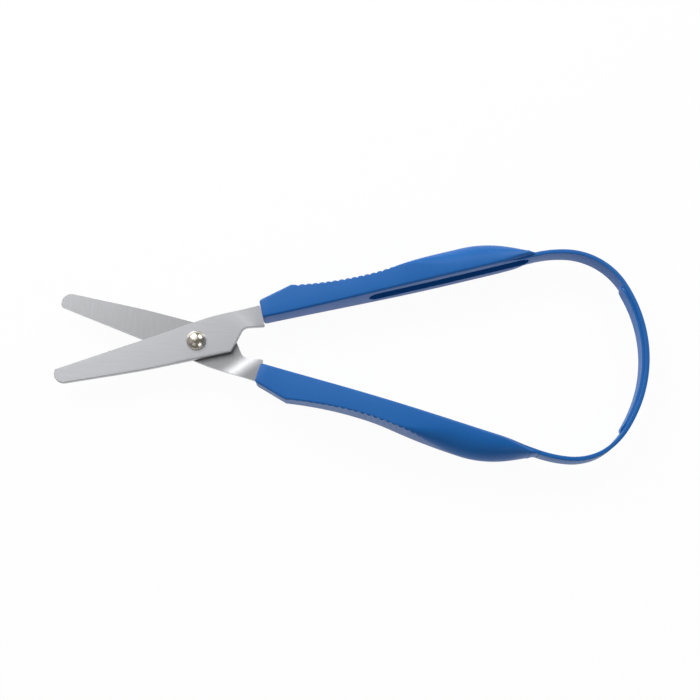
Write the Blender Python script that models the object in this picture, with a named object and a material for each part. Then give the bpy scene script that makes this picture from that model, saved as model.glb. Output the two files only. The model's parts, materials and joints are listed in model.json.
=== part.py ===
"""Self-opening loop-handle scissors: two round-ended steel blades on a domed rivet, with a
moulded handle whose two grips run into one springy loop band.

Lengths are in millimetres and angles in degrees until a mesh is made. The blades and the
handle are drawn about the rivet: +X runs from the blades to the loop, +Z is the front.
The rear half is the front half turned half a turn about X.
"""

import math

import bmesh
import bpy
from mathutils import Matrix, Vector

MM = 0.001

# Fits
GAP = 0.3
OVERCUT = 1.0
MERGE_DISTANCE = 0.0001

# Blades
BLADE_THICKNESS = 1.5
CUT_ANGLE = 21.4
CUT_OFFSET = 6.3
CUT_LENGTH = 46.6
TIP_WIDTH = 4.6
TIP_SLANT = 11.0
TIP_RADIUS = 3.2
SPINE_BOW = 0.5
SPINE_RADIUS = 252.0
HEEL_REACH = 11.8
HEEL_DROP = 3.5
HEEL_SLANT = 24.3
CORNER_RADIUS = 0.4
NECK_RADIUS = 1.2
RICASSO_RADIUS = 12.6

# Tangs, measured from the front inner corner of a grip
TANG_OUTER = 4.85
TANG_ANGLE = 16.5
NECK_REACH = 15.6
STOP_STANDS_PROUD = 1.9
INSERT_INSET = 1.5
INSERT_WIDTH = 2.9
INSERT_LENGTH = 30.0
JOGGLE_TURN = 43.8
JOGGLE_START = 15.2
JOGGLE_LENGTH = 2.2

# Rivet
HEAD_DIAMETER = 6.3
HEAD_HEIGHT = 1.9
HEAD_RIM = 0.35
SHANK_DIAMETER = 3.4
TAIL_DIAMETER = 5.4
TAIL_HEIGHT = 0.9
RIVET_SIDES = 32

# Grips, along the inner edge from the front inner corner
GRIP_FRONT_X = 22.2
GRIP_FRONT_Y = 8.1
GRIP_ANGLE = 15.3
GRIP_LENGTH = 94.4
INNER_BOW = 0.4
FRONT_WIDTH = 5.7
FRONT_HEIGHT = 7.4
FRONT_ROUNDING = 0.6
PEAK_AT = 12.0
PEAK_WIDTH = 8.8
WAIST_AT = 38.0
WAIST_WIDTH = 6.35
SWELL_TO_END = 23.4
SWELL_WIDTH = 8.2
SWELL_HEIGHT = 13.0
SOLE_LENGTH = 16.0
SOLE_TO_END = 14.4
INNER_FILLET = 1.2
EDGE_FILLET = 1.0
SWELL_ROUNDING = 4.4
MOST_ROUND_WIDE = 0.6
MOST_ROUND_HIGH = 0.46

# Ridges across the outer side of a grip, from the same corner
RIDGE_START = 13.9
RIDGE_PITCH = 2.17
RIDGE_DEPTH = 0.45
RIDGE_COUNT = 20
RIDGES_FADE_AT = 40.0
CREST_FROM = 0.35
CREST_TO = 0.65

# Pocket moulded into each grip's inner face
POCKET_START = 36.6
POCKET_TO_END = 3.9
POCKET_HEIGHT = 6.0
POCKET_WALL = 1.8

# Loop band
BAND_THICKNESS = 1.45
BAND_HEIGHT = 7.4
BAND_FILLET = 0.3
LEAD_RADIUS = 39.3
SHOULDER_RADIUS = 22.8
SHOULDER_TURN = 58.4
STIFFENER_LENGTH = 52.0
STIFFENER_HEIGHT = 4.5
STIFFENER_RISE = 1.1
STIFFENER_RAMP = 1.2

# Flexing points along the band from the end of either grip, and the seam at the rear grip
ROOT_FLEX = 4.0
LEAD_FLEX = 13.0
SHOULDER_FLEX = 28.0
FAR_FLEX = 46.0
SEAM_DISTANCE = 0.4
LINK_END_CHAMFER = 0.45

# Fineness of the curves
ARC_STEP = 15.0
BAND_STEP = 3.0
GRIP_STEP = 3.0
FILLET_STEPS = 2
ROUND_STEPS = 5
DOME_STEPS = 8
POCKET_STEPS = 4
SHARP_ANGLE = 30.0


def turn(angle):
    """Unit vector at an angle from +X."""
    return Vector((math.cos(math.radians(angle)), math.sin(math.radians(angle))))


def left_of(direction):
    return Vector((-direction.y, direction.x))


def crossing(start_a, along_a, start_b, along_b):
    """Point where two lines in the plane meet."""
    across = along_a.x * along_b.y - along_a.y * along_b.x
    apart = start_b - start_a
    return start_a + along_a * ((apart.x * along_b.y - apart.y * along_b.x) / across)


def ease(share):
    """Half a cosine wave, level at both ends."""
    share = min(max(share, 0.0), 1.0)
    return 0.5 - 0.5 * math.cos(math.pi * share)


def rounded(corners):
    """Outline through (point, radius) corners, each corner replaced by an arc."""
    outline = []
    count = len(corners)
    for index, (corner, radius) in enumerate(corners):
        before = (corners[index - 1][0] - corner).normalized()
        after = (corners[(index + 1) % count][0] - corner).normalized()
        opening = before.angle(after)
        setback = radius / math.tan(opening / 2)
        centre = corner + (before + after).normalized() * radius / math.sin(opening / 2)
        first = corner + before * setback - centre
        sweep = first.angle_signed(corner + after * setback - centre)
        steps = max(1, round(abs(math.degrees(sweep)) / ARC_STEP))
        for step in range(steps + 1):
            spoke = first.copy()
            spoke.rotate(Matrix.Rotation(-sweep * step / steps, 2))
            outline.append(centre + spoke)
    return outline


def make_object(name, bm, material, parent=None, origin=(0, 0, 0)):
    """Finish a bmesh drawn in millimetres as an object whose origin is at the given point."""
    bmesh.ops.recalc_face_normals(bm, faces=bm.faces)
    bmesh.ops.translate(bm, verts=bm.verts, vec=-Vector(origin))
    bmesh.ops.scale(bm, verts=bm.verts, vec=(MM, MM, MM))
    mesh = bpy.data.meshes.new(name)
    bm.to_mesh(mesh)
    bm.free()
    mesh.shade_smooth()
    mesh.set_sharp_from_angle(angle=math.radians(SHARP_ANGLE))
    obj = bpy.data.objects.new(name, mesh)
    bpy.context.scene.collection.objects.link(obj)
    if material is not None:
        mesh.materials.append(material)
    obj.location = Vector(origin) * MM
    obj.parent = parent
    return obj


def make_empty(name, parent=None, location=(0, 0, 0)):
    empty = bpy.data.objects.new(name, None)
    bpy.context.scene.collection.objects.link(empty)
    empty.location = Vector(location) * MM
    empty.parent = parent
    return empty


def make_material(name, colour, roughness, metallic):
    material = bpy.data.materials.new(name)
    material.use_nodes = True
    shader = material.node_tree.nodes["Principled BSDF"]
    shader.inputs["Base Color"].default_value = (*colour, 1)
    shader.inputs["Roughness"].default_value = roughness
    shader.inputs["Metallic"].default_value = metallic
    return material


def skin(rings):
    """Closed bmesh through rings of as many points each, capped at both ends."""
    bm = bmesh.new()
    loops = [[bm.verts.new(point) for point in ring] for ring in rings]
    for ring, following in zip(loops[:-1], loops[1:]):
        for index, corner in enumerate(ring):
            beside = (index + 1) % len(ring)
            bm.faces.new((corner, ring[beside], following[beside], following[index]))
    bm.faces.new(loops[0])
    bm.faces.new(loops[-1])
    return bm


def cut(obj, cutter):
    """Cut a hidden helper out of an object."""
    cutter.hide_render = True
    cutter.display_type = "WIRE"
    boolean = obj.modifiers.new("cut_" + cutter.name, "BOOLEAN")
    boolean.operation = "DIFFERENCE"
    boolean.solver = "EXACT"
    boolean.object = cutter


# Grip frame: along the inner edge, and out from it
GRIP_CORNER = Vector((GRIP_FRONT_X, GRIP_FRONT_Y))
GRIP_ALONG = turn(GRIP_ANGLE)
GRIP_OUT = left_of(GRIP_ALONG)
SWELL_AT = GRIP_LENGTH - SWELL_TO_END
SOLE_END = GRIP_LENGTH - SOLE_TO_END
SOLE_START = SOLE_END - SOLE_LENGTH
POCKET_END = GRIP_LENGTH - POCKET_TO_END


def on_grip(along, out):
    return GRIP_CORNER + GRIP_ALONG * along + GRIP_OUT * out


def band_path():
    """Arcs of half the band's centre line, as (start, heading, radius, length)."""
    shoulder_turn = math.radians(SHOULDER_TURN)
    lead_turn = math.radians(GRIP_ANGLE)
    start = on_grip(GRIP_LENGTH, BAND_THICKNESS / 2)
    top = start.y + LEAD_RADIUS * (1 - math.cos(lead_turn))
    end_radius = (top - SHOULDER_RADIUS * (1 - math.cos(shoulder_turn))) / math.cos(shoulder_turn)
    arcs = []
    heading = lead_turn
    for radius, angle in (
        (LEAD_RADIUS, lead_turn),
        (SHOULDER_RADIUS, shoulder_turn),
        (end_radius, math.pi / 2 - shoulder_turn),
    ):
        arcs.append((start, heading, radius, radius * angle))
        start = along_arc(arcs[-1], radius * angle)[0]
        heading -= angle
    return arcs


def along_arc(arc, distance):
    """Point and heading on a clockwise arc."""
    start, heading, radius, _ = arc
    later = heading - distance / radius
    shift = Vector((math.sin(heading) - math.sin(later), math.cos(later) - math.cos(heading)))
    return start + shift * radius, later


BAND_ARCS = band_path()
HALF_BAND = sum(arc[3] for arc in BAND_ARCS)


def on_band(distance):
    """Centre-line point and outward unit vector at a distance from the front grip's end."""
    if distance > HALF_BAND:
        point, outward = on_band(2 * HALF_BAND - distance)
        return Vector((point.x, -point.y)), Vector((outward.x, -outward.y))
    for arc in BAND_ARCS:
        if distance <= arc[3] or arc is BAND_ARCS[-1]:
            point, heading = along_arc(arc, distance)
            return point, Vector((-math.sin(heading), math.cos(heading)))
        distance -= arc[3]


# Blades

def blade_outline():
    """Front blade and tang in plan, anticlockwise from the cutting corner of the tip."""
    cut_along = -turn(CUT_ANGLE)
    cut_foot = left_of(turn(CUT_ANGLE)) * CUT_OFFSET
    tip = cut_foot + cut_along * CUT_LENGTH
    tip_end = tip - turn(90 - TIP_SLANT) * TIP_WIDTH
    heel = Vector((HEEL_REACH, -HEEL_DROP))
    spine_middle = (tip_end + heel) / 2
    spine_middle += left_of((tip_end - heel).normalized()) * SPINE_BOW
    neck = crossing(heel, turn(90 - HEEL_SLANT), Vector((NECK_REACH, 0)), Vector((0, 1)))
    stop = on_grip(-GAP, -STOP_STANDS_PROUD)
    outer = on_grip(-GAP, TANG_OUTER)
    ricasso = crossing(cut_foot, cut_along, outer, turn(TANG_ANGLE))
    insert_outer = INSERT_INSET + INSERT_WIDTH
    return rounded(
        [
            (tip, CORNER_RADIUS),
            (tip_end, TIP_RADIUS),
            (spine_middle, SPINE_RADIUS),
            (heel, CORNER_RADIUS),
            (neck, NECK_RADIUS),
            (stop, CORNER_RADIUS),
            (on_grip(-GAP, INSERT_INSET), CORNER_RADIUS),
            (on_grip(INSERT_LENGTH, INSERT_INSET), CORNER_RADIUS),
            (on_grip(INSERT_LENGTH, insert_outer), CORNER_RADIUS),
            (on_grip(-GAP, insert_outer), CORNER_RADIUS),
            (outer, CORNER_RADIUS),
            (ricasso, RICASSO_RADIUS),
        ]
    )


def make_blade(name, material, parent):
    """Flat blade in the front layer, with its tang stepped down to the middle plane."""
    bm = bmesh.new()
    bm.faces.new([bm.verts.new((*point, GAP / 2)) for point in blade_outline()])
    bend = turn(JOGGLE_TURN)
    for reach in (JOGGLE_START, JOGGLE_START + JOGGLE_LENGTH):
        geometry = bm.verts[:] + bm.edges[:] + bm.faces[:]
        bmesh.ops.bisect_plane(
            bm,
            geom=geometry,
            dist=MERGE_DISTANCE,
            plane_co=(*bend * reach, 0),
            plane_no=(*bend, 0),
        )
    step_down = (GAP + BLADE_THICKNESS) / 2
    for vert in bm.verts:
        past = (vert.co.xy.dot(bend) - JOGGLE_START) / JOGGLE_LENGTH
        vert.co.z -= step_down * min(max(past, 0.0), 1.0)
    raised = bmesh.ops.extrude_face_region(bm, geom=bm.faces[:])["geom"]
    lifted = [item for item in raised if isinstance(item, bmesh.types.BMVert)]
    bmesh.ops.translate(bm, verts=lifted, vec=(0, 0, BLADE_THICKNESS))
    blade = make_object(name, bm, material, parent)
    hole = bmesh.new()
    bmesh.ops.create_cone(
        hole,
        cap_ends=True,
        segments=RIVET_SIDES,
        radius1=SHANK_DIAMETER / 2 + GAP,
        radius2=SHANK_DIAMETER / 2 + GAP,
        depth=2 * (BLADE_THICKNESS + GAP + OVERCUT),
    )
    cut(blade, make_object(name + "_hole", hole, None, parent))
    return blade


def make_rivet(name, material, parent):
    """Domed head, shank and formed tail, turned as one piece."""
    seat = GAP / 2 + BLADE_THICKNESS + GAP
    head_radius = HEAD_DIAMETER / 2
    cap_height = HEAD_HEIGHT - HEAD_RIM
    ball = (head_radius**2 + cap_height**2) / (2 * cap_height)
    half_arc = math.degrees(math.asin(head_radius / ball))
    profile = [Vector((0, 0, seat + HEAD_HEIGHT))]
    for step in range(1, DOME_STEPS + 1):
        spoke = turn(90 - half_arc * step / DOME_STEPS) * ball
        profile.append(Vector((spoke.x, 0, seat + HEAD_HEIGHT - ball + spoke.y)))
    profile += [
        Vector((head_radius, 0, seat)),
        Vector((SHANK_DIAMETER / 2, 0, seat)),
        Vector((SHANK_DIAMETER / 2, 0, -seat)),
        Vector((TAIL_DIAMETER / 2, 0, -seat)),
        Vector((TAIL_DIAMETER / 2, 0, -seat - TAIL_HEIGHT / 2)),
        Vector((SHANK_DIAMETER / 2, 0, -seat - TAIL_HEIGHT)),
        Vector((0, 0, -seat - TAIL_HEIGHT)),
    ]
    bm = bmesh.new()
    points = [bm.verts.new(point) for point in profile]
    edges = [bm.edges.new(pair) for pair in zip(points[:-1], points[1:])]
    bmesh.ops.spin(
        bm,
        geom=points + edges,
        axis=(0, 0, 1),
        cent=(0, 0, 0),
        angle=2 * math.pi,
        steps=RIVET_SIDES,
    )
    bmesh.ops.remove_doubles(bm, verts=bm.verts, dist=MERGE_DISTANCE)
    return make_object(name, bm, material, parent)


# Grips

def grip_width(along):
    """Outer edge's distance from the inner edge's chord, without the ridges."""
    if along < PEAK_AT:
        return FRONT_WIDTH + (PEAK_WIDTH - FRONT_WIDTH) * along / PEAK_AT
    if along < WAIST_AT:
        hollow = (WAIST_AT - along) / (WAIST_AT - PEAK_AT)
        return WAIST_WIDTH + (PEAK_WIDTH - WAIST_WIDTH) * hollow**2
    if along < SWELL_AT:
        rise = ease((along - WAIST_AT) / (SWELL_AT - WAIST_AT))
        return WAIST_WIDTH + (SWELL_WIDTH - WAIST_WIDTH) * rise
    fall = (along - SWELL_AT) / (GRIP_LENGTH - SWELL_AT)
    return SWELL_WIDTH - (SWELL_WIDTH - BAND_THICKNESS) * fall**2


def grip_height(along):
    """Size in Z: slim at the front, a level sole under the swell, then down to the band."""
    if along < SOLE_END:
        return FRONT_HEIGHT + (SWELL_HEIGHT - FRONT_HEIGHT) * ease(along / SOLE_START)
    fall = (along - SOLE_END) / (GRIP_LENGTH - SOLE_END)
    return SWELL_HEIGHT - (SWELL_HEIGHT - BAND_HEIGHT) * fall**2


def inner_edge(along):
    return -INNER_BOW * math.sin(math.pi * along / GRIP_LENGTH)


def section(inner, outer, height, fillet, round_out, round_up):
    """Closed (out, z) section: filleted flat inner side, rounded outer side."""
    top = height / 2
    quarter = []
    for step in range(FILLET_STEPS + 1):
        spoke = turn(180 - 90 * step / FILLET_STEPS) * fillet
        quarter.append((inner + fillet + spoke.x, top - fillet + spoke.y))
    for step in range(ROUND_STEPS + 1):
        spoke = turn(90 - 90 * step / ROUND_STEPS)
        quarter.append((outer - round_out + spoke.x * round_out, top - round_up + spoke.y * round_up))
    return quarter + [(out, -z) for out, z in reversed(quarter)]


def grip_section(along, ridge=0.0, shrink=0.0):
    """Section of a grip, with a ridge's valley taken off its outer side."""
    inner = inner_edge(along) + shrink
    outer = grip_width(along) - ridge - shrink
    height = grip_height(along) - 2 * shrink
    width = outer - inner
    round_share = ease((along - WAIST_AT) / (SOLE_START - WAIST_AT))
    fillet = min(INNER_FILLET, width / 4)
    round_out = EDGE_FILLET + (SWELL_ROUNDING - EDGE_FILLET) * round_share
    round_out = min(round_out, width * MOST_ROUND_WIDE)
    most_up = height * MOST_ROUND_HIGH
    round_up = min(EDGE_FILLET + (most_up - EDGE_FILLET) * round_share, most_up)
    return section(inner, outer, height, fillet, round_out, round_up)


def grip_stations():
    """(along, ridge depth) of each ring: front corner, ridges, then the swell to the band."""
    stations = [(FRONT_ROUNDING, 0.0), (PEAK_AT / 2, 0.0), (PEAK_AT, 0.0)]
    for index in range(RIDGE_COUNT):
        valley = RIDGE_START + index * RIDGE_PITCH
        left = (GRIP_LENGTH - valley) / (GRIP_LENGTH - RIDGES_FADE_AT)
        depth = RIDGE_DEPTH * min(1.0, left**2)
        stations.append((valley, depth))
        stations.append((valley + RIDGE_PITCH * CREST_FROM, 0.0))
        stations.append((valley + RIDGE_PITCH * CREST_TO, 0.0))
    last = stations[-1][0]
    steps = math.ceil((GRIP_LENGTH - last) / GRIP_STEP)
    for step in range(1, steps):
        stations.append((last + (GRIP_LENGTH - last) * step / steps, 0.0))
    return stations


def band_section(thickness, stiffener=0.0):
    """Closed (out, z) section of the band, with the stiffener standing in from its inner face."""
    half = thickness / 2
    top = BAND_HEIGHT / 2
    rib = STIFFENER_HEIGHT / 2
    upper = [
        (-half - stiffener, rib - STIFFENER_RISE / 2),
        (-half, rib),
        (-half, top - BAND_FILLET),
        (-half + BAND_FILLET * thickness / BAND_THICKNESS, top),
        (half - BAND_FILLET * thickness / BAND_THICKNESS, top),
        (half, top - BAND_FILLET),
    ]
    return upper + [(out, -z) for out, z in reversed(upper)]


def band_ring(distance, section_points):
    point, outward = on_band(distance)
    return [(*(point + outward * out), z) for out, z in section_points]


def stub_ring(distance, thickness):
    """Ring of the band on the end of a grip, with as many points as a grip's section."""
    point, outward = on_band(distance)
    fillet = min(BAND_FILLET, thickness / 4)
    half = thickness / 2
    flat = section(-half, half, BAND_HEIGHT, fillet, fillet, BAND_FILLET)
    return [(*(point + outward * out), z) for out, z in flat]


def make_grip(name, material, parent, stub_end):
    """Grip with the root of the loop band on its rear end, cored from its inner face."""
    rings = [[(*on_grip(0, out), z) for out, z in grip_section(0, 0, FRONT_ROUNDING)]]
    for along, ridge in grip_stations():
        rings.append([(*on_grip(along, out), z) for out, z in grip_section(along, ridge)])
    chamfer = min(LINK_END_CHAMFER, stub_end / 2)
    rings.append(stub_ring(0, BAND_THICKNESS))
    rings.append(stub_ring(stub_end - chamfer, BAND_THICKNESS))
    rings.append(stub_ring(stub_end, BAND_THICKNESS / 2))
    grip = make_object(name, skin(rings), material, parent)
    cut(grip, make_insert_socket(name + "_socket", parent))
    cut(grip, make_pocket(name + "_pocket", parent))
    return grip


def make_insert_socket(name, parent):
    """Space that the tang's insert fills in a grip."""
    low = INSERT_INSET - GAP
    high = INSERT_INSET + INSERT_WIDTH + GAP
    half = BLADE_THICKNESS / 2 + GAP
    corners = ((low, -half), (high, -half), (high, half), (low, half))
    rings = []
    for along in (-OVERCUT, INSERT_LENGTH + GAP):
        rings.append([(*on_grip(along, out), z) for out, z in corners])
    return make_object(name, skin(rings), None, parent)


def make_pocket(name, parent):
    """Round-ended pocket whose floor leaves an even outer wall."""
    radius = POCKET_HEIGHT / 2
    straight = POCKET_END - POCKET_START - 2 * radius
    end_steps = round(90 / ARC_STEP)
    front = []
    for step in range(1, end_steps + 1):
        spoke = turn(180 - ARC_STEP * step) * radius
        front.append((POCKET_START + radius + spoke.x, spoke.y))
    middle = []
    for step in range(1, POCKET_STEPS):
        middle.append((POCKET_START + radius + straight * step / POCKET_STEPS, radius))
    rear = [(POCKET_START + POCKET_END - along, half) for along, half in reversed(front)]
    shaped = []
    for along, half in front + middle + rear:
        floor = grip_width(along) - RIDGE_DEPTH - POCKET_WALL
        lip = inner_edge(along) - OVERCUT
        corners = ((lip, -half), (floor, -half), (floor, half), (lip, half))
        shaped.append([(*on_grip(along, out), z) for out, z in corners])
    return make_object(name, skin(shaped), None, parent)


# Loop band

def make_link(name, start, end, material, parent, parent_origin):
    """Stretch of the band between two flexing points, chamfered so that it can turn."""
    first = start + GAP / 2
    last = end - GAP / 2
    inner_steps = max(1, math.ceil((last - first - 2 * LINK_END_CHAMFER) / BAND_STEP))
    inside = last - first - 2 * LINK_END_CHAMFER
    distances = [first + LINK_END_CHAMFER + inside * step / inner_steps for step in range(inner_steps + 1)]
    rings = [band_ring(first, band_section(BAND_THICKNESS / 2))]
    for distance in distances:
        reach = STIFFENER_LENGTH / 2 - abs(distance - HALF_BAND)
        clear = min(reach, distance - first - LINK_END_CHAMFER, last - distance - LINK_END_CHAMFER)
        rise = STIFFENER_RISE * min(max(clear / STIFFENER_RAMP, 0.0), 1.0)
        rings.append(band_ring(distance, band_section(BAND_THICKNESS, rise)))
    rings.append(band_ring(last, band_section(BAND_THICKNESS / 2)))
    hinge = Vector((*on_band(start)[0], 0))
    link = make_object(name, skin(rings), material, parent, hinge)
    link.location = (hinge - Vector(parent_origin)) * MM
    return link, hinge


# Assembly

for old in list(bpy.data.objects):
    bpy.data.objects.remove(old, do_unlink=True)

blade_steel = make_material("blade_steel", (0.62, 0.62, 0.61), 0.32, 1.0)
rivet_metal = make_material("rivet_metal", (0.55, 0.50, 0.42), 0.15, 1.0)
handle_plastic = make_material("handle_plastic", (0.035, 0.15, 0.42), 0.38, 0.0)

least_x = min(point.x for point in blade_outline())
greatest_x = on_band(HALF_BAND)[0].x + BAND_THICKNESS / 2
rivet_centre = (-(least_x + greatest_x) / 2, 0, SWELL_HEIGHT / 2)

front_half = make_empty("front_half", None, rivet_centre)
rear_half = make_empty("rear_half", front_half)
rear_half.rotation_euler.x = math.pi

make_blade("front_blade", blade_steel, front_half)
make_blade("rear_blade", blade_steel, rear_half)
make_rivet("pivot_rivet", rivet_metal, front_half)
make_grip("upper_grip", handle_plastic, front_half, ROOT_FLEX - GAP / 2)
make_grip("lower_grip", handle_plastic, rear_half, SEAM_DISTANCE)

flex_points = [ROOT_FLEX, LEAD_FLEX, SHOULDER_FLEX, FAR_FLEX]
flex_points += [2 * HALF_BAND - distance for distance in reversed(flex_points)]
link_ends = flex_points[1:] + [2 * HALF_BAND - SEAM_DISTANCE - GAP / 2]
carrier = front_half
carrier_origin = Vector((0, 0, 0))
for number, (start, end) in enumerate(zip(flex_points, link_ends), 1):
    carrier, carrier_origin = make_link(
        f"loop_band_{number}", start, end, handle_plastic, carrier, carrier_origin
    )
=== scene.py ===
"""Looks of the self-opening loop-handle scissors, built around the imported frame."""

import json
import math

import bmesh
import bpy
from mathutils import Matrix, Vector


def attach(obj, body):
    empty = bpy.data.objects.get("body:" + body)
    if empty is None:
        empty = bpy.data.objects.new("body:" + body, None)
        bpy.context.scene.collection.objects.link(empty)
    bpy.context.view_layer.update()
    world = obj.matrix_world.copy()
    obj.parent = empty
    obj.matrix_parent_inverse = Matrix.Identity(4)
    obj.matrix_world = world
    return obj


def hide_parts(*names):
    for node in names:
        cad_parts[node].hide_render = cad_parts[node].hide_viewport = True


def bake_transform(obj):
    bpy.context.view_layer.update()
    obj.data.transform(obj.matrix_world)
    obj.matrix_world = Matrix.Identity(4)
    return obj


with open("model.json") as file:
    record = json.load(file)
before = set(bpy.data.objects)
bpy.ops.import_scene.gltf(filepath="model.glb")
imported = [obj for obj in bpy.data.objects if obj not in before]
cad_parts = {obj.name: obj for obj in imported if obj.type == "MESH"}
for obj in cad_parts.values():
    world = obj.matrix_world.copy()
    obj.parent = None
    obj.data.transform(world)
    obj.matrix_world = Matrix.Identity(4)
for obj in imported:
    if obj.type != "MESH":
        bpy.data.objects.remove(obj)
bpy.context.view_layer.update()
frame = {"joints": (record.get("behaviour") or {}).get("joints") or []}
bpy.ops.object.select_all(action="DESELECT")

# Blades. Each is one stamping of stainless steel, the same piece turned over, stepped down
# behind the rivet so that its tang lies in the middle plane and runs into the grip. The outer
# face is brushed along the blade and ground to an edge, and the inner face is ground across.

PIVOT = Vector(next(joint["pos_m"] for joint in frame["joints"] if joint["name"] == "blade_pivot"))
BLADE_GAP = 0.0003
BLADE_THICKNESS = 0.0015
CUT_ANGLE = math.radians(20.95)
CUT_OFFSET = 0.00627
CUT_LENGTH = 0.0469
TIP_WIDTH = 0.0056
TIP_SLANT = math.radians(11.0)
TIP_RADIUS = 0.0032
SPINE_BOW = 0.00075
SPINE_RADIUS = 0.252
HEEL_REACH = 0.0118
HEEL_DROP = 0.0035
HEEL_SLANT = math.radians(24.3)
CORNER_RADIUS = 0.0004
NECK_REACH = 0.0156
NECK_RADIUS = 0.0028
RICASSO_RADIUS = 0.0126
TANG_OUTER = 0.0053
TANG_ANGLE = math.radians(16.5)
STOP_STANDS_PROUD = 0.0023
INSERT_INSET = 0.0015
INSERT_WIDTH = 0.0029
INSERT_LENGTH = 0.030
BEND_TURN = math.radians(53.0)
BEND_START = 0.0136
BEND_LENGTH = 0.0038
BEND_SOFTNESS = 0.0018
BLADES_LIE = math.radians(0.45)
GRIND_WIDTH = 0.00014
GRIND_INSET = 0.00018
GRIND_STARTS_AT = -0.0066
GRIND_RUN = 0.0012
SPINE_ROLL = 0.0002
SPINE_FALL = 0.00006
EDGE_BREAK = 0.00012
BORE_RADIUS = 0.0020
FACE_STEPS = 18
ROLL_STEPS = 4
BORE_SEGMENTS = 48
BORE_DEPTH = 0.02
ARC_STEP = math.radians(6)
BLADE_STEP = 0.0011
BEND_STEP = 0.00028
BENDS_REACH = 0.012
END_SHARE = 0.00005
LEAST_SHARE = 0.0004
SHARE_HALVINGS = 40
GRIP_CORNER = Vector((0.0222, 0.0081))
GRIP_ANGLE = math.radians(15.3)


def turn(angle):
    """Unit vector at an angle from +X in the plane of the scissors."""
    return Vector((math.cos(angle), math.sin(angle)))


def on_grip(along, out):
    """Point in the plane, along the upper grip's inner edge and out from it."""
    return GRIP_CORNER + turn(GRIP_ANGLE) * along + turn(GRIP_ANGLE + math.pi / 2) * out


def crossing(start_a, along_a, start_b, along_b):
    """Point where two lines in the plane meet."""
    apart = start_b - start_a
    return start_a + along_a * (apart.cross(along_b) / along_a.cross(along_b))


def rounded(corners):
    """Outline through (point, radius) corners, each corner replaced by an arc."""
    outline = []
    for index, (corner, radius) in enumerate(corners):
        before = (corners[index - 1][0] - corner).normalized()
        after = (corners[(index + 1) % len(corners)][0] - corner).normalized()
        opening = before.angle(after)
        setback = radius / math.tan(opening / 2)
        centre = corner + (before + after).normalized() * radius / math.sin(opening / 2)
        first = corner + before * setback - centre
        sweep = first.angle_signed(corner + after * setback - centre)
        steps = max(2, round(abs(sweep) / ARC_STEP))
        for step in range(steps + 1):
            spoke = first.copy()
            spoke.rotate(Matrix.Rotation(-sweep * step / steps, 2))
            outline.append(centre + spoke)
    return outline


cut_foot = turn(CUT_ANGLE + math.pi / 2) * CUT_OFFSET
tip = cut_foot - turn(CUT_ANGLE) * CUT_LENGTH
tip_end = tip - turn(math.pi / 2 - TIP_SLANT) * TIP_WIDTH
heel = Vector((HEEL_REACH, -HEEL_DROP))
spine_run = heel - tip_end
spine_middle = (tip_end + heel) / 2 + SPINE_BOW * Vector((spine_run.y, -spine_run.x)).normalized()
neck = crossing(heel, turn(math.pi / 2 - HEEL_SLANT), Vector((NECK_REACH, 0)), Vector((0, 1)))
stop = on_grip(-BLADE_GAP, -STOP_STANDS_PROUD)
shoulder = on_grip(-BLADE_GAP, TANG_OUTER)
ricasso = crossing(cut_foot, turn(CUT_ANGLE), shoulder, turn(TANG_ANGLE))
blade_outline = rounded(
    [
        (tip, CORNER_RADIUS),
        (tip_end, TIP_RADIUS),
        (spine_middle, SPINE_RADIUS),
        (heel, CORNER_RADIUS),
        (neck, NECK_RADIUS),
        (stop, CORNER_RADIUS),
        (shoulder, CORNER_RADIUS),
        (ricasso, RICASSO_RADIUS),
    ]
)


def blade_line(share):
    """Line across the blade, from the slant of its tip to the square end of its tang."""
    base = (tip + tip_end) / 2
    base = base + ((stop + shoulder) / 2 - base) * share
    slant = math.pi / 2 - TIP_SLANT
    return base, turn(slant + (GRIP_ANGLE + TIP_SLANT) * share)


def share_through(place):
    """Share along the blade of the line across it that goes through a place."""
    low, high = 0.0, 1.0
    for _ in range(SHARE_HALVINGS):
        middle = (low + high) / 2
        base, across = blade_line(middle)
        if across.cross(place - base) < 0:
            low = middle
        else:
            high = middle
    return low


def blade_edges(share):
    """Spine and cutting edge of the blade on a line across it."""
    base, across = blade_line(share)
    reaches = []
    for start, end in zip(blade_outline, blade_outline[1:] + blade_outline[:1]):
        before = across.cross(start - base)
        after = across.cross(end - base)
        if (before < 0) != (after < 0):
            meeting = start + (end - start) * before / (before - after)
            reaches.append((meeting - base).dot(across))
    return base + across * min(reaches), base + across * max(reaches)


def bend_fall(place):
    """How far the stamping has stepped down at a place, with soft bends."""
    past = place.dot(turn(BEND_TURN)) - BEND_START
    soft = BEND_SOFTNESS
    if past < soft:
        run = max(past + soft, 0.0) ** 2 / (4 * soft)
    elif past < BEND_LENGTH - soft:
        run = past
    else:
        run = BEND_LENGTH - max(BEND_LENGTH + soft - past, 0.0) ** 2 / (4 * soft)
    return (BLADE_GAP + BLADE_THICKNESS) / 2 * run / BEND_LENGTH


def ease(share):
    """Half a cosine wave, level at both ends."""
    share = min(max(share, 0.0), 1.0)
    return 0.5 - 0.5 * math.cos(math.pi * share)


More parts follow.
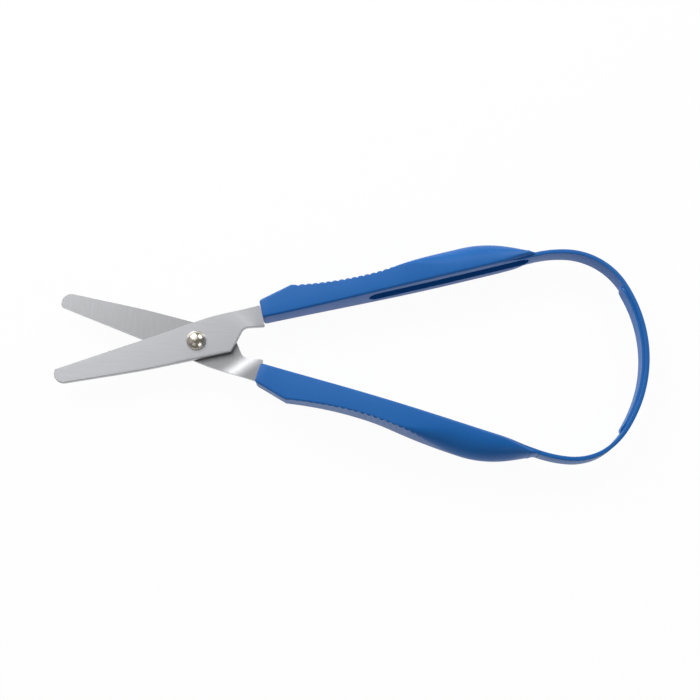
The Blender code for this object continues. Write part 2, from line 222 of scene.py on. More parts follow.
def blade_ring(share, layer):
    """Section of a blade: its inner face, ground edge, brushed outer face and rolled spine."""
    spine, edge = blade_edges(share)
    across = (spine - edge).normalized()
    ground = ease((GRIND_STARTS_AT - edge.x) / GRIND_RUN)
    edge = edge + across * min(GRIND_INSET * ground, (spine - edge).length / 4)
    width = (spine - edge).length
    bevel = min(EDGE_BREAK + (GRIND_WIDTH - EDGE_BREAK) * ground, width / 4)
    roll = min(EDGE_BREAK + (SPINE_ROLL - EDGE_BREAK) * ground, width / 3)
    fall = EDGE_BREAK + (SPINE_FALL - EDGE_BREAK) * ground
    top = BLADE_THICKNESS
    section = [(0.0, 0.0), (0.0, top - bevel)]
    for step in range(FACE_STEPS + 1):
        section.append((bevel + (width - bevel - roll) * step / FACE_STEPS, top))
    for step in range(1, ROLL_STEPS + 1):
        reach = step / ROLL_STEPS
        section.append((width - roll + roll * reach, top - fall * reach**2))
    for step in range(FACE_STEPS):
        section.append((width - width * step / FACE_STEPS, 0.0))
    ring = []
    for reach, height in section:
        place = edge + across * reach
        level = BLADE_GAP / 2 + height - bend_fall(place)
        lying = Vector((place.x, layer * place.y))
        lying.rotate(Matrix.Rotation(BLADES_LIE, 2))
        ring.append(PIVOT + Vector((lying.x, lying.y, layer * level)))
    return ring


def insert_ring(along, layer):
    """Section of the tang inside the grip, with as many points as the blade's sections."""
    ring = []
    outer_steps = FACE_STEPS + ROLL_STEPS + 1
    step_down = (BLADE_GAP + BLADE_THICKNESS) / 2
    for index in range(outer_steps + FACE_STEPS + 2):
        if index == 0:
            out = INSERT_INSET + INSERT_WIDTH
            height = 0.0
        elif index <= outer_steps + 1:
            out = INSERT_INSET + INSERT_WIDTH * (1 - (index - 1) / outer_steps)
            height = BLADE_THICKNESS
        else:
            out = INSERT_INSET + INSERT_WIDTH * (index - outer_steps - 2) / FACE_STEPS
            height = 0.0
        place = on_grip(along, out)
        level = BLADE_GAP / 2 + height - step_down
        ring.append(PIVOT + Vector((place.x, layer * place.y, layer * level)))
    return ring


def blade_shares():
    """Places of the sections along a blade: at every corner, and close together on the bends."""
    shares = [share_through(corner) for corner in blade_outline]
    length = ((stop + shoulder) / 2 - (tip + tip_end) / 2).length
    count = math.ceil(length / BLADE_STEP)
    shares += [step / count for step in range(count)]
    bend_from = share_through(on_grip(-BENDS_REACH, TANG_OUTER))
    count = math.ceil((1 - bend_from) * length / BEND_STEP)
    shares += [bend_from + (1 - bend_from) * step / count for step in range(count)]
    ordered = [END_SHARE]
    for share in sorted(shares):
        if share - ordered[-1] > LEAST_SHARE and share < 1 - LEAST_SHARE:
            ordered.append(share)
    return ordered + [1 - END_SHARE]


MERGE_DISTANCE = 2e-6
SMOOTH_ANGLE = math.radians(35.0)


def loft(name, rings):
    """Closed skin through rings of as many points: a filled ring extruded from place to place."""
    bpy.ops.object.select_all(action="DESELECT")
    bpy.ops.mesh.primitive_circle_add(vertices=len(rings[0]), fill_type="NGON")
    piece = bpy.context.object
    piece.name = name
    bpy.ops.object.mode_set(mode="EDIT")
    bpy.ops.mesh.select_mode(type="FACE")
    bpy.ops.mesh.select_all(action="SELECT")
    for number, ring in enumerate(rings):
        if number:
            bpy.ops.mesh.extrude_region_move()
        shape = bmesh.from_edit_mesh(piece.data)
        end = next(face for face in shape.faces if face.select)
        for corner, place in zip(end.verts, ring):
            corner.co = place
        bmesh.update_edit_mesh(piece.data)
    bpy.ops.mesh.select_all(action="SELECT")
    bpy.ops.mesh.remove_doubles(threshold=MERGE_DISTANCE)
    bpy.ops.mesh.normals_make_consistent(inside=False)
    bpy.ops.object.mode_set(mode="OBJECT")
    return piece


def cut_away(piece, tool):
    """Cut a tool shape out of a piece and remove the tool."""
    bpy.ops.object.select_all(action="DESELECT")
    bpy.context.view_layer.objects.active = piece
    piece.select_set(True)
    cut = piece.modifiers.new("cut", "BOOLEAN")
    cut.operation = "DIFFERENCE"
    cut.solver = "EXACT"
    cut.object = tool
    bpy.ops.object.modifier_apply(modifier=cut.name)
    bpy.data.objects.remove(tool)


def finish_mesh(piece, *materials):
    """Give a finished piece its materials and smooth its round surfaces."""
    piece.data.materials.clear()
    for material in materials:
        piece.data.materials.append(material)
    bpy.ops.object.select_all(action="DESELECT")
    piece.select_set(True)
    bpy.context.view_layer.objects.active = piece
    bpy.ops.object.shade_smooth_by_angle(angle=SMOOTH_ANGLE)


def add_node(material, kind, **values):
    """Add a shader node to a material and set its unlinked sockets."""
    node = material.node_tree.nodes.new(kind)
    for socket, value in values.items():
        node.inputs[socket.replace("_", " ")].default_value = value
    return node


def new_material(name):
    """Material with its Principled shader, and the node that gives places on the piece."""
    material = bpy.data.materials.new(name)
    material.use_nodes = True
    shader = material.node_tree.nodes["Principled BSDF"]
    places = add_node(material, "ShaderNodeTexCoord")
    return material, shader, places.outputs["Object"]


# Places of the colour sockets on a Mix node
MIX_FACTOR = 0
MIX_FIRST_COLOUR = 6
MIX_SECOND_COLOUR = 7
MIXED_COLOUR = 2


def blend_colours(material, factor, dark, light):
    """Colour that runs from dark to light with a factor."""
    mix = material.node_tree.nodes.new("ShaderNodeMix")
    mix.data_type = "RGBA"
    mix.inputs[MIX_FIRST_COLOUR].default_value = (*dark, 1)
    mix.inputs[MIX_SECOND_COLOUR].default_value = (*light, 1)
    material.node_tree.links.new(factor, mix.inputs[MIX_FACTOR])
    return mix.outputs[MIXED_COLOUR]


def ground_steel(name, angle, along, across, dark, light):
    """Steel with grinding marks: long fine streaks at an angle in the plane of the blades."""
    material, shader, places = new_material(name)
    link = material.node_tree.links.new
    turned = add_node(material, "ShaderNodeMapping", Rotation=(0, 0, angle), Scale=(along, across, 1))
    link(places, turned.inputs["Vector"])
    streaks = add_node(material, "ShaderNodeTexNoise", Scale=1.0, Detail=5.0, Roughness=0.65)
    link(turned.outputs[0], streaks.inputs["Vector"])
    contrast = add_node(material, "ShaderNodeMapRange", From_Min=0.3, From_Max=0.7)
    link(streaks.outputs["Fac"], contrast.inputs["Value"])
    link(blend_colours(material, contrast.outputs[0], dark, light), shader.inputs["Base Color"])
    satin = add_node(material, "ShaderNodeMapRange", To_Min=0.46, To_Max=0.36)
    link(contrast.outputs[0], satin.inputs["Value"])
    link(satin.outputs[0], shader.inputs["Roughness"])
    relief = add_node(material, "ShaderNodeBump", Strength=0.08, Distance=0.00002)
    link(contrast.outputs[0], relief.inputs["Height"])
    link(relief.outputs[0], shader.inputs["Normal"])
    shader.inputs["Metallic"].default_value = 1.0
    return material


BRUSH_ANGLE = math.radians(17.0)
BRUSH_MARKS = (60, 2600)
BRUSHED_DARK = (0.455, 0.46, 0.48)
BRUSHED_LIGHT = (0.50, 0.505, 0.525)
GRIND_MARKS = (1800, 90)
GROUND_DARK = (0.345, 0.347, 0.36)
GROUND_LIGHT = (0.38, 0.382, 0.395)
FACES_INWARDS = -0.5

for half, body, layer in (("front", "upper_half", 1), ("rear", "lower_half", -1)):
    brush_angle = -layer * BRUSH_ANGLE
    brushed = ground_steel(f"{half}_brushed_steel", brush_angle, *BRUSH_MARKS, BRUSHED_DARK, BRUSHED_LIGHT)
    ground = ground_steel(f"{half}_ground_steel", brush_angle, *GRIND_MARKS, GROUND_DARK, GROUND_LIGHT)
    rings = [blade_ring(share, layer) for share in blade_shares()]
    rings += [insert_ring(-BLADE_GAP, layer), insert_ring(INSERT_LENGTH, layer)]
    blade = loft(f"{half}_blade_stamping", rings)
    bpy.ops.mesh.primitive_cylinder_add(
        vertices=BORE_SEGMENTS, radius=BORE_RADIUS, depth=BORE_DEPTH, location=PIVOT
    )
    cut_away(blade, bpy.context.object)
    finish_mesh(blade, brushed, ground)
    for face in blade.data.polygons:
        face.material_index = int(layer * face.normal.z < FACES_INWARDS)
    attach(blade, body)
    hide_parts(f"{half}_blade")

# Rivet. A turned and plated pin with a domed, polished head on the front blade and a
# formed tail behind the rear one. The blades turn on its shank.

HEAD_RADIUS = 0.00315
HEAD_HEIGHT = 0.0022
HEAD_RIM = 0.00055
HEAD_SKIRT = 0.00015
HEAD_CLEARANCE = 0.00002
HEAD_TAPER = 0.975
SHANK_RADIUS = 0.0017
TAIL_RADIUS = 0.0027
TAIL_HEIGHT = 0.0009
TAIL_PULLS = ((0.4, 1.0), (0.4, 0.82), (0.2, 0.6))
BLADE_FACE = 0.00165
RIVET_SEGMENTS = 96
RIVET_RINGS = 64
PLATE_DARK = (0.72, 0.67, 0.57)
PLATE_LIGHT = (0.82, 0.77, 0.67)

cap_height = HEAD_HEIGHT - HEAD_RIM
ball_radius = (HEAD_RADIUS**2 + cap_height**2) / (2 * cap_height)
rim_level = PIVOT.z + BLADE_FACE + HEAD_RIM
ball_centre = Vector((PIVOT.x, PIVOT.y, rim_level + cap_height - ball_radius))
bpy.ops.object.select_all(action="DESELECT")
bpy.ops.mesh.primitive_uv_sphere_add(
    segments=RIVET_SEGMENTS, ring_count=RIVET_RINGS, radius=ball_radius, location=ball_centre
)
rivet = bpy.context.object
rivet.name = "domed_rivet"
bpy.ops.object.transform_apply(location=True)
bpy.ops.object.mode_set(mode="EDIT")
bpy.ops.mesh.select_all(action="SELECT")
bpy.ops.mesh.bisect(
    plane_co=(PIVOT.x, PIVOT.y, rim_level), plane_no=(0, 0, 1), use_fill=True, clear_inner=True
)


def pull_end(down, radius_ratio):
    """Extrude the selected end of the rivet down by a length, then scale it about the axis."""
    bpy.ops.mesh.extrude_region_move(TRANSFORM_OT_translate={"value": (0, 0, -down)})
    bpy.ops.transform.resize(value=(radius_ratio, radius_ratio, 1), center_override=PIVOT)


bpy.ops.mesh.select_mode(type="FACE")
shape = bmesh.from_edit_mesh(rivet.data)
for face in shape.faces:
    face.select_set(len(face.verts) > 4)
bmesh.update_edit_mesh(rivet.data)
pull_end(HEAD_SKIRT, 1.0)
pull_end(HEAD_RIM - HEAD_SKIRT - HEAD_CLEARANCE, HEAD_TAPER)
pull_end(0.0, SHANK_RADIUS / (HEAD_RADIUS * HEAD_TAPER))
pull_end(2 * BLADE_FACE, 1.0)
pull_end(0.0, TAIL_RADIUS / SHANK_RADIUS)
for share, taper in TAIL_PULLS:
    pull_end(TAIL_HEIGHT * share, taper)
bpy.ops.mesh.select_all(action="SELECT")
bpy.ops.mesh.normals_make_consistent(inside=False)
bpy.ops.object.mode_set(mode="OBJECT")

plated, shader, places = new_material("nickel_plate")
link = plated.node_tree.links.new
wear = add_node(plated, "ShaderNodeTexNoise", Scale=900.0, Detail=3.0)
link(places, wear.inputs["Vector"])
plate_colour = blend_colours(plated, wear.outputs["Fac"], PLATE_DARK, PLATE_LIGHT)
link(plate_colour, shader.inputs["Base Color"])
polish = add_node(plated, "ShaderNodeMapRange", To_Min=0.2, To_Max=0.28)
link(wear.outputs["Fac"], polish.inputs["Value"])
link(polish.outputs[0], shader.inputs["Roughness"])
shader.inputs["Metallic"].default_value = 1.0
finish_mesh(rivet, plated)
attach(rivet, "upper_half")
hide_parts("pivot_rivet")

# Grips. Both are the front stretches of one blue plastic moulding, moulded round the tangs.
# Each is slim and ridged in front, swells behind for the palm, is cored by a long pocket in
# its inner face, and runs out into the loop band.

GRIP_LENGTH = 0.0944
GRIP_FRONT = -0.00025
INNER_BOW = 0.0004
FRONT_WIDTH = 0.00635
FRONT_HEIGHT = 0.0084
FRONT_ROUNDING = 0.0006
ROUNDING_SHARE = 0.3
PEAK_AT = 0.0112
PEAK_WIDTH = 0.0091
WAIST_AT = 0.038
WAIST_WIDTH = 0.00645
SWELL_AT = 0.071
SWELL_WIDTH = 0.00935
SWELL_HEIGHT = 0.013
SOLE_START = 0.064
SOLE_END = 0.080
INNER_FILLET = 0.0008
OUTER_FILLET = 0.0007
SWELL_ROUNDING = 0.0075
DOME_START = 0.047
DOME_FULL = 0.070
RIDGE_START = 0.0139
RIDGE_PITCH = 0.00217
RIDGE_DEPTH = 0.0006
RIDGE_COUNT = 22
RIDGES_FADE_AT = 0.2
UPPER_RIDGES_FULL = 0.042
UPPER_RIDGES_END = 0.050
LOWER_RIDGES_LEAST = 0.25
LOWER_RIDGES_START = 0.020
LOWER_RIDGES_FULL = 0.036
BACK_LEAN = 0.0004
LEAN_FADES_FROM = 0.040
LEAN_FADES_TO = 0.060
POCKET_START = 0.0361
POCKET_END = 0.0922
POCKET_HALF = 0.003
POCKET_WALL = 0.0018
POCKET_LEAST_DEPTH = 0.0008
LEDGE_START = 0.083
UNDER_FILLET = 0.0004
UNDER_LEDGE_START = 0.088
LEDGE_WIDTH = 0.0008
BLUNT_FROM = 0.0918
BLUNT_TO = 0.0935
BLUNT_RISE = 0.0013
BAND_THICKNESS = 0.00145
BAND_HEIGHT = 0.0074
BAND_FILLET = 0.0003
ROOT_END = 0.0005
FRONT_SET = 0.0006
SET_FROM = 0.045
SET_TO = 0.104
REAR_SAG = 0.00105
SAG_AT = 0.132
SAG_END = 0.147
INNER_ROUND_SHARE = 0.4
OUTER_ROUND_SHARE = 0.9
EDGE_STEPS = 3
INNER_STEPS = 5
OUTER_STEPS = 8
POCKET_STEPS = 8
FRONT_STATIONS = (0.0006, 0.003, 0.006, 0.009, PEAK_AT, 0.0114, 0.0126)
RIDGE_SHARES = (0.0, 0.07, 0.2, 0.35, 0.5, 0.65, 0.8, 0.93)
REAR_STATIONS = 30
LEAST_STATION_GAP = 0.00004
FACE_TOLERANCE = 2e-5
PLASTIC_DARK = (0.003, 0.119, 0.425)
PLASTIC_LIGHT = (0.006, 0.135, 0.455)


def quarter(steps):
    """Angles of a quarter turn, in even steps."""
    return [math.pi / 2 * step / steps for step in range(steps + 1)]


def blunt_end(along):
    """The swell ends in a small round nose on the band: 1 before it, 0 past it."""
    past = min(max((along - BLUNT_FROM) / (BLUNT_TO - BLUNT_FROM), 0.0), 1.0)
    return math.sqrt(1 - past**2)


def grip_width(along):
    """Distance from the inner edge to the outer one, over the ridges."""
    if along < PEAK_AT:
        return FRONT_WIDTH + (PEAK_WIDTH - FRONT_WIDTH) * along / PEAK_AT
    if along < WAIST_AT:
        hollow = (WAIST_AT - along) / (WAIST_AT - PEAK_AT)
        return WAIST_WIDTH + (PEAK_WIDTH - WAIST_WIDTH) * hollow**2
    if along < SWELL_AT:
        return WAIST_WIDTH + (SWELL_WIDTH - WAIST_WIDTH) * ease((along - WAIST_AT) / (SWELL_AT - WAIST_AT))
    fall = (min(along, BLUNT_FROM) - SWELL_AT) / (GRIP_LENGTH - SWELL_AT)
    width = SWELL_WIDTH - (SWELL_WIDTH - BAND_THICKNESS) * fall**2
    return BAND_THICKNESS + (width - BAND_THICKNESS) * blunt_end(along)


def grip_half_height(along):
    """Half the size in Z: slim in front, level under the swell, then down to the band."""
    if along < SOLE_END:
        return (FRONT_HEIGHT + (SWELL_HEIGHT - FRONT_HEIGHT) * ease(along / SOLE_START)) / 2
    band = BAND_HEIGHT / 2
    fall = (min(along, BLUNT_FROM) - SOLE_END) / (BLUNT_FROM - SOLE_END)
    height = SWELL_HEIGHT / 2 - (SWELL_HEIGHT / 2 - band - BLUNT_RISE) * fall**2
    return band + (height - band) * blunt_end(along)


def ridge_depth(along):
    """Depth of the scallops between the ridges: sharp valleys and round crests."""
    turns = (along - RIDGE_START) / RIDGE_PITCH
    if not 0 <= turns <= RIDGE_COUNT:
        return 0.0
    return RIDGE_DEPTH * (1 - abs(math.sin(math.pi * turns)))


def pocket_half_height(along):
    """Half the height of the round-ended pocket, or nothing beyond its ends."""
    into = min(along - POCKET_START, POCKET_END - along)
    if into <= 0:
        return 0.0
    into = min(into, POCKET_HALF)
    return math.sqrt(POCKET_HALF**2 - (POCKET_HALF - into) ** 2)


def inner_edge(along):
    """The inner edge bows slightly towards the middle of the loop."""
    return -INNER_BOW * math.sin(math.pi * along / GRIP_LENGTH)


def half_section(along, shrink=0.0, fillet=INNER_FILLET, ledge_start=LEDGE_START):
    """Upper half of a grip's section, as (out, up) points from the inner side to the outer one."""
    inner = inner_edge(along) + shrink
    outer = max(grip_width(along) - shrink, inner + BAND_THICKNESS)
    top = grip_half_height(along) - shrink
    past = min(max((along - ledge_start) / (BLUNT_FROM - ledge_start), 0.0), 1.0)
    ledge = LEDGE_WIDTH * past
    wall = (top - fillet) + (BAND_HEIGHT / 2 - shrink - top + fillet) * ease(past)
    edge = BAND_FILLET * ease(past)
    points = [(inner, 0.0), (inner, pocket_half_height(along))]
    for turned in quarter(EDGE_STEPS):
        points.append((inner + edge * (1 - math.cos(turned)), wall - edge * (1 - math.sin(turned))))
    shelf = inner + max(ledge, edge)
    swell = ease((along - DOME_START) / (DOME_FULL - DOME_START))
    inner_round = min(fillet, (outer - shelf) * INNER_ROUND_SHARE)
    outer_round = OUTER_FILLET + (SWELL_ROUNDING - OUTER_FILLET) * swell
    outer_round = min(outer_round, (outer - shelf - inner_round) * OUTER_ROUND_SHARE)
    outer_fall = OUTER_FILLET + (top - BAND_FILLET - OUTER_FILLET) * swell
    for turned in quarter(INNER_STEPS):
        points.append((shelf + inner_round * (1 - math.cos(turned)), wall + (top - wall) * math.sin(turned)))
    points.append(((shelf + inner_round + outer - outer_round) / 2, top))
    for turned in quarter(OUTER_STEPS):
        points.append(
            (outer - outer_round * (1 - math.sin(turned)), top - outer_fall * (1 - math.cos(turned)))
        )
    points.append((outer, 0.0))
    return points


def settled(place, side, up):
    """World point of the moulding, whose lower side lies a little unevenly, as moulded."""
    across = side * place.y
    if side < 0:
        across += FRONT_SET * (1 - ease((place.x - SET_FROM) / (SET_TO - SET_FROM)))
        fallen = ease((place.x - SET_TO) / (SAG_AT - SET_TO))
        across -= REAR_SAG * fallen * ease((SAG_END - place.x) / (SAG_END - SAG_AT))
    return PIVOT + Vector((place.x, across, up))


def flute_share(along, side, level):
    """Share of a scallop's depth: full at the top edge, early on the upper grip, late on the lower."""
    if side > 0:
        share = 1 - ease((along - UPPER_RIDGES_FULL) / (UPPER_RIDGES_END - UPPER_RIDGES_FULL))
    else:
        risen = ease((along - LOWER_RIDGES_START) / (LOWER_RIDGES_FULL - LOWER_RIDGES_START))
        share = LOWER_RIDGES_LEAST + (1 - LOWER_RIDGES_LEAST) * risen
    return share * ease((level - RIDGES_FADE_AT) / (1 - RIDGES_FADE_AT))


def back_lean(along, out, face):
    """How far the outer wall leans outwards towards the back edge, in front of the swell."""
    if face > 0:
        return 0.0
    spread = 1 - ease((along - LEAN_FADES_FROM) / (LEAN_FADES_TO - LEAN_FADES_FROM))
    return BACK_LEAN * -face * spread * (max(out, 0.0) / grip_width(along)) ** 2


def grip_ring(along, side, shrink=0.0):
    """Ring of points round a grip, with the scallops cut deepest along its top edge."""
    upper = half_section(along, shrink)
    under = half_section(along, shrink, UNDER_FILLET, UNDER_LEDGE_START)
    section = upper + [(out, -up) for out, up in reversed(under[1:-1])]
    width = grip_width(along) - shrink
    top = grip_half_height(along)
    ring = []
    for out, up in section:
        flute = ridge_depth(along) * flute_share(along, side, up / top)
        place = on_grip(along, min(out, width - flute) + back_lean(along, out, side * up / top))
        ring.append(settled(place, side, up))
    return ring


def grip_stations():
    """Places of the rings along a grip, close together over the ridges and the pocket's ends."""
    stations = set(FRONT_STATIONS)
    for ridge in range(RIDGE_COUNT + 1):
        for share in RIDGE_SHARES:
            if ridge < RIDGE_COUNT or share == 0.0:
                stations.add(RIDGE_START + (ridge + share) * RIDGE_PITCH)
    for turned in quarter(POCKET_STEPS):
        stations.add(POCKET_START + POCKET_HALF * (1 - math.cos(turned)))
        stations.add(POCKET_END - POCKET_HALF * (1 - math.cos(turned)))
    last_ridge = RIDGE_START + RIDGE_COUNT * RIDGE_PITCH
    for step in range(1, REAR_STATIONS):
        stations.add(last_ridge + (GRIP_LENGTH - last_ridge) * step / REAR_STATIONS)
    ordered = []
    for along in sorted(stations):
        if not ordered or along - ordered[-1] > LEAST_STATION_GAP:
            ordered.append(along)
    return ordered


# The loop band's centre line follows from where the grips end: three arcs to the far end.
LEAD_RADIUS = 0.0393
SHOULDER_RADIUS = 0.0228
SHOULDER_TURN = math.radians(58.4)

lead_start = on_grip(GRIP_LENGTH, BAND_THICKNESS / 2)
lead_top = lead_start.y + LEAD_RADIUS * (1 - math.cos(GRIP_ANGLE))
far_radius = (lead_top - SHOULDER_RADIUS * (1 - math.cos(SHOULDER_TURN))) / math.cos(SHOULDER_TURN)
BAND_ARCS = (
    (LEAD_RADIUS, GRIP_ANGLE),
    (SHOULDER_RADIUS, SHOULDER_TURN),
    (far_radius, math.pi / 2 - SHOULDER_TURN),
)
HALF_BAND = sum(radius * sweep for radius, sweep in BAND_ARCS)


def on_band(distance):
    """Place and outward direction on the band's centre line, from the upper grip's end."""
    if distance > HALF_BAND:
        place, outward = on_band(2 * HALF_BAND - distance)
        return Vector((place.x, -place.y)), Vector((outward.x, -outward.y))
    place = lead_start.copy()
    heading = GRIP_ANGLE
    for radius, sweep in BAND_ARCS:
        part = distance / radius if radius is far_radius else min(distance / radius, sweep)
        later = heading - part
        place += radius * Vector((math.sin(heading) - math.sin(later), math.cos(later) - math.cos(heading)))
        heading = later
        distance -= part * radius
        if distance <= 0:
            break
    return place, Vector((-math.sin(heading), math.cos(heading)))


def root_ring(distance, side):
    """Ring of the band on the end of a grip, with as many points as the grip's own rings."""
    half = BAND_THICKNESS / 2
    top = BAND_HEIGHT / 2
    points = [(-half, 0.0), (-half, 0.0)]
    for turned in quarter(EDGE_STEPS):
        points.append(
            (-half + BAND_FILLET * (1 - math.cos(turned)), top - BAND_FILLET * (1 - math.sin(turned)))
        )
    points += [(0.0, top)] * (INNER_STEPS + 2)
    for turned in quarter(OUTER_STEPS):
        points.append(
            (half - BAND_FILLET * (1 - math.sin(turned)), top - BAND_FILLET * (1 - math.cos(turned)))
        )
    points.append((half, 0.0))
    section = points + [(out, -up) for out, up in reversed(points[1:-1])]
    centre, outward = on_band(distance)
    return [settled(centre + outward * out, side, up) for out, up in section]


def along_and_out(place, side):
    """Where a point of a grip lies: along its inner edge, and out from it."""
    lift = settled(Vector((place.x - PIVOT.x, 0)), side, 0).y - PIVOT.y
    apart = Vector((place.x - PIVOT.x, side * (place.y - PIVOT.y - lift))) - GRIP_CORNER
    return apart.dot(turn(GRIP_ANGLE)), apart.dot(turn(GRIP_ANGLE + math.pi / 2))


def in_pocket(place, side):
    """Whether a point of a grip lies on its inner face, within the pocket's mouth."""
    along, out = along_and_out(place, side)
    on_face = abs(out - inner_edge(along)) < FACE_TOLERANCE
    within = POCKET_START - FACE_TOLERANCE < along < POCKET_END + FACE_TOLERANCE
    level = abs(place.z - PIVOT.z)
    return on_face and within and level < pocket_half_height(along) + FACE_TOLERANCE


def make_grip(name, side):
    """A grip with its rounded front end, and its pocket pushed in from the inner face."""
    rounding = FRONT_ROUNDING * ROUNDING_SHARE
    rings = [
        grip_ring(GRIP_FRONT, side, FRONT_ROUNDING),
        grip_ring(GRIP_FRONT + rounding, side, rounding),
    ]
    rings += [grip_ring(along, side) for along in grip_stations()]
    rings += [root_ring(0.0, side), root_ring(ROOT_END, side)]
    grip = loft(name, rings)
    bpy.ops.object.mode_set(mode="EDIT")
    bpy.ops.mesh.select_mode(type="FACE")
    bpy.ops.mesh.select_all(action="DESELECT")
    shape = bmesh.from_edit_mesh(grip.data)
    for face in shape.faces:
        face.select_set(all(in_pocket(corner.co, side) for corner in face.verts))
    bmesh.update_edit_mesh(grip.data)
    bpy.ops.mesh.extrude_region_move()
    shape = bmesh.from_edit_mesh(grip.data)
    for corner in {corner for face in shape.faces if face.select for corner in face.verts}:
        along, out = along_and_out(corner.co, side)
        depth = max(grip_width(along) - RIDGE_DEPTH - POCKET_WALL - out, POCKET_LEAST_DEPTH)
        corner.co = settled(on_grip(along, out + depth), side, corner.co.z - PIVOT.z)
    bmesh.update_edit_mesh(grip.data)
    bpy.ops.object.mode_set(mode="OBJECT")
    return grip


moulded, shader, places = new_material("blue_moulded_plastic")
link = moulded.node_tree.links.new
cloud = add_node(moulded, "ShaderNodeTexNoise", Scale=70.0, Detail=3.0)
link(places, cloud.inputs["Vector"])
plastic_colour = blend_colours(moulded, cloud.outputs["Fac"], PLASTIC_DARK, PLASTIC_LIGHT)
link(plastic_colour, shader.inputs["Base Color"])
gloss = add_node(moulded, "ShaderNodeMapRange", To_Min=0.40, To_Max=0.50)
link(cloud.outputs["Fac"], gloss.inputs["Value"])
link(gloss.outputs[0], shader.inputs["Roughness"])
shader.inputs["Specular IOR Level"].default_value = 0.4
grain = add_node(moulded, "ShaderNodeTexNoise", Scale=2500.0, Detail=2.0)
link(places, grain.inputs["Vector"])
relief = add_node(moulded, "ShaderNodeBump", Strength=0.06, Distance=0.00003)
link(grain.outputs["Fac"], relief.inputs["Height"])
link(relief.outputs[0], shader.inputs["Normal"])

for half, side in (("upper", 1), ("lower", -1)):
    grip = make_grip(f"{half}_grip_moulding", side)
    finish_mesh(grip, moulded)
    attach(grip, f"{half}_half")
    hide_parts(f"{half}_grip")

# Loop band. The same moulding runs on behind the hand as one flat springy band, with a low
# stiffening rib on the inner face of its far end. It bends evenly when the grips close, and
# it is made in stretches, each taking in one flexing point of the frame.

STIFFENER_START = 0.0333
STIFFENER_END = 0.0875
STIFFENER_HALF = 0.0031
STIFFENER_RISE = 0.0009
STIFFENER_RAMP = 0.0008
STIFFENER_BREAK = 0.0003
STIFFENER_FOOT = 0.0001
STIFFENER_SHOULDER = 0.8
FLEX_POINTS = (0.004, 0.013, 0.028, 0.046)
FLEX_REACHES = (0.0033, 0.0045, 0.0065, 0.0085)
BAND_STEP = 0.0008
FILLET_STEPS = 4
SEAM_GAP = 0.0001

flexes = list(FLEX_POINTS) + [2 * HALF_BAND - distance for distance in reversed(FLEX_POINTS)]
reaches = FLEX_REACHES + FLEX_REACHES[::-1]
seam = 2 * HALF_BAND - ROOT_END - SEAM_GAP


def stiffener_at(distance):
    """(rise, half height) of the stiffening rib, round-ended."""
    into = min(distance - STIFFENER_START, STIFFENER_END - distance)
    if into <= 0:
        return 0.0, 0.0
    round_part = min(into, STIFFENER_HALF)
    half = math.sqrt(STIFFENER_HALF**2 - (STIFFENER_HALF - round_part) ** 2)
    return STIFFENER_RISE * min(1.0, into / STIFFENER_RAMP), half


def band_ring(distance):
    """Ring of the band, with the stiffening rib on its inner face."""
    half = BAND_THICKNESS / 2
    top = BAND_HEIGHT / 2
    rise, rib = stiffener_at(distance)
    points = [
        (-half - rise, 0.0),
        (-half - rise, max(rib - STIFFENER_BREAK, 0.0)),
        (-half - rise * STIFFENER_SHOULDER, max(rib - STIFFENER_FOOT, 0.0)),
        (-half, rib),
    ]
    for turned in quarter(FILLET_STEPS):
        points.append(
            (-half + BAND_FILLET * (1 - math.cos(turned)), top - BAND_FILLET * (1 - math.sin(turned)))
        )
    for turned in quarter(FILLET_STEPS):
        points.append(
            (half - BAND_FILLET * (1 - math.sin(turned)), top - BAND_FILLET * (1 - math.cos(turned)))
        )
    points.append((half, 0.0))
    section = points + [(out, -up) for out, up in reversed(points[1:-1])]
    lower = distance > HALF_BAND
    centre, outward = on_band(2 * HALF_BAND - distance if lower else distance)
    return [settled(centre + outward * out, -1 if lower else 1, up) for out, up in section]


cuts = [ROOT_END]
for before, after in zip(flexes[:-1], flexes[1:]):
    cuts.append((before + after) / 2)
cuts.append(seam)
for number, (start, end) in enumerate(zip(cuts[:-1], cuts[1:]), 1):
    steps = math.ceil((end - start) / BAND_STEP)
    rings = [band_ring(start + (end - start) * step / steps) for step in range(steps + 1)]
    stretch = loft(f"loop_band_stretch_{number}", rings)
    finish_mesh(stretch, moulded)
    flex = flexes[number - 1]
    reach = reaches[number - 1]
    first = PIVOT + on_band(flex - reach)[0].to_3d()
    last = PIVOT + on_band(flex + reach)[0].to_3d()
    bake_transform(stretch)
    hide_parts(f"loop_band_{number}")

# Floor and light. A plain white table, which looks like lit paper to the camera and in gloss.
# Square soft lamps stand round the scissors, the strongest behind them, in a dim even surround.

FLOOR_SIZE = 6.0
FLOOR_LEVEL = -0.0001
PAPER_COLOUR = (0.9, 0.9, 0.9)
PAPER_ROUGHNESS = 0.9
PAPER_GLOW_SHARE = 0.96

bpy.ops.object.select_all(action="DESELECT")
bpy.ops.mesh.primitive_plane_add(size=FLOOR_SIZE, location=(0, 0, FLOOR_LEVEL))
floor = bpy.context.object
floor.name = "floor"
paper, shader, places = new_material("white_paper")
link = paper.node_tree.links.new
shader.inputs["Base Color"].default_value = (*PAPER_COLOUR, 1)
shader.inputs["Roughness"].default_value = PAPER_ROUGHNESS
glow = add_node(paper, "ShaderNodeEmission", Color=(1, 1, 1, 1), Strength=1.0)
path = add_node(paper, "ShaderNodeLightPath")
seen = path.outputs["Is Camera Ray"]
for ray in ("Is Glossy Ray", "Is Transmission Ray"):
    either = add_node(paper, "ShaderNodeMath")
    either.operation = "MAXIMUM"
    link(seen, either.inputs[0])
    link(path.outputs[ray], either.inputs[1])
    seen = either.outputs[0]
glow_share = add_node(paper, "ShaderNodeMath")
glow_share.operation = "MULTIPLY"
glow_share.inputs[1].default_value = PAPER_GLOW_SHARE
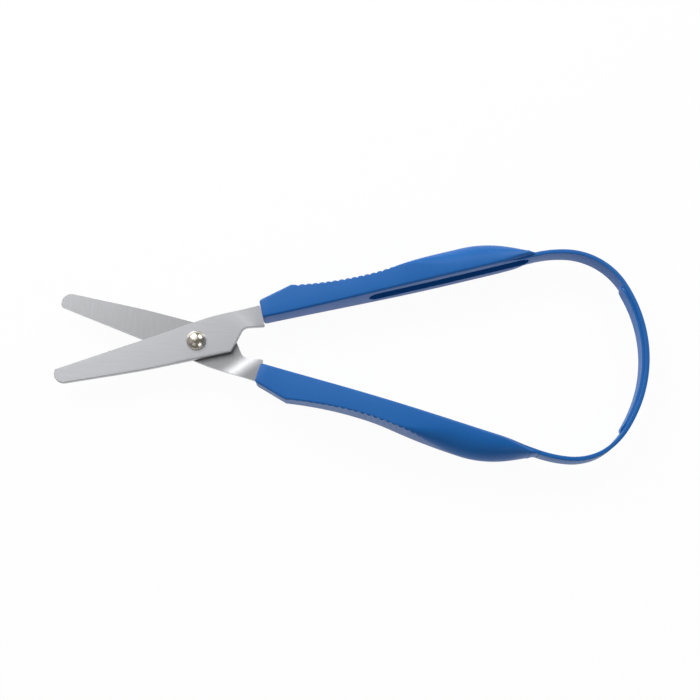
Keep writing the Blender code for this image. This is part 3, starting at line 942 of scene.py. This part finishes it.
link(seen, glow_share.inputs[0])
mix = add_node(paper, "ShaderNodeMixShader")
link(glow_share.outputs[0], mix.inputs[0])
link(shader.outputs[0], mix.inputs[1])
link(glow.outputs[0], mix.inputs[2])
link(mix.outputs[0], paper.node_tree.nodes["Material Output"].inputs["Surface"])
floor.data.materials.append(paper)

SURROUND_LEVEL = 0.14
LAMP_SIZE = 0.42
# Name, direction from the middle of the scissors, distance and power of each lamp
LAMPS = (
    ("lamp_back_left", (-0.52, 0.65, 0.55), 0.6, 2.8),
    ("lamp_back_right", (0.45, 0.69, 0.57), 0.9, 2.9),
    ("lamp_overhead", (-0.34, 0.35, 0.85), 0.6, 0.45),
    ("lamp_left", (-0.85, 0.0, 0.50), 0.6, 0.15),
    ("lamp_front_left", (-0.40, -0.61, 0.69), 0.9, 0.3),
    ("lamp_front_right", (0.55, -0.60, 0.55), 0.9, 1.0),
)

world = bpy.data.worlds.new("studio")
bpy.context.scene.world = world
world.use_nodes = True
surround = world.node_tree.nodes["Background"]
surround.inputs["Color"].default_value = (1, 1, 1, 1)
surround.inputs["Strength"].default_value = SURROUND_LEVEL
for name, direction, distance, power in LAMPS:
    towards = Vector(direction).normalized()
    bpy.ops.object.light_add(type="AREA", location=towards * distance)
    lamp = bpy.context.object
    lamp.name = name
    lamp.rotation_euler = towards.to_track_quat("Z", "Y").to_euler()
    lamp.data.shape = "SQUARE"
    lamp.data.size = LAMP_SIZE
    lamp.data.energy = power

# Camera. It looks down on the scissors from the lower grip's side, and is slightly rolled, as in
# the photograph.

VIEW_TARGET = Vector((-0.00114, -0.00108, 0.0065))
VIEW_ELEVATION = math.radians(75.0)
VIEW_ROLL = math.radians(1.91)
VIEW_DISTANCE = 0.409
FOCAL_LENGTH = 63.05
SENSOR_WIDTH = 36.0
CLIP_START = 0.01

bpy.ops.object.camera_add()
camera = bpy.context.object
camera.data.lens = FOCAL_LENGTH
camera.data.sensor_width = SENSOR_WIDTH
back = Vector((0, -math.cos(VIEW_ELEVATION), math.sin(VIEW_ELEVATION)))
turned = Matrix.Rotation(math.pi / 2 - VIEW_ELEVATION, 4, "X") @ Matrix.Rotation(VIEW_ROLL, 4, "Z")
camera.matrix_world = Matrix.Translation(VIEW_TARGET + back * VIEW_DISTANCE) @ turned
camera.data.clip_start = CLIP_START
bpy.context.scene.camera = camera
bpy.context.scene.view_settings.view_transform = "Standard"
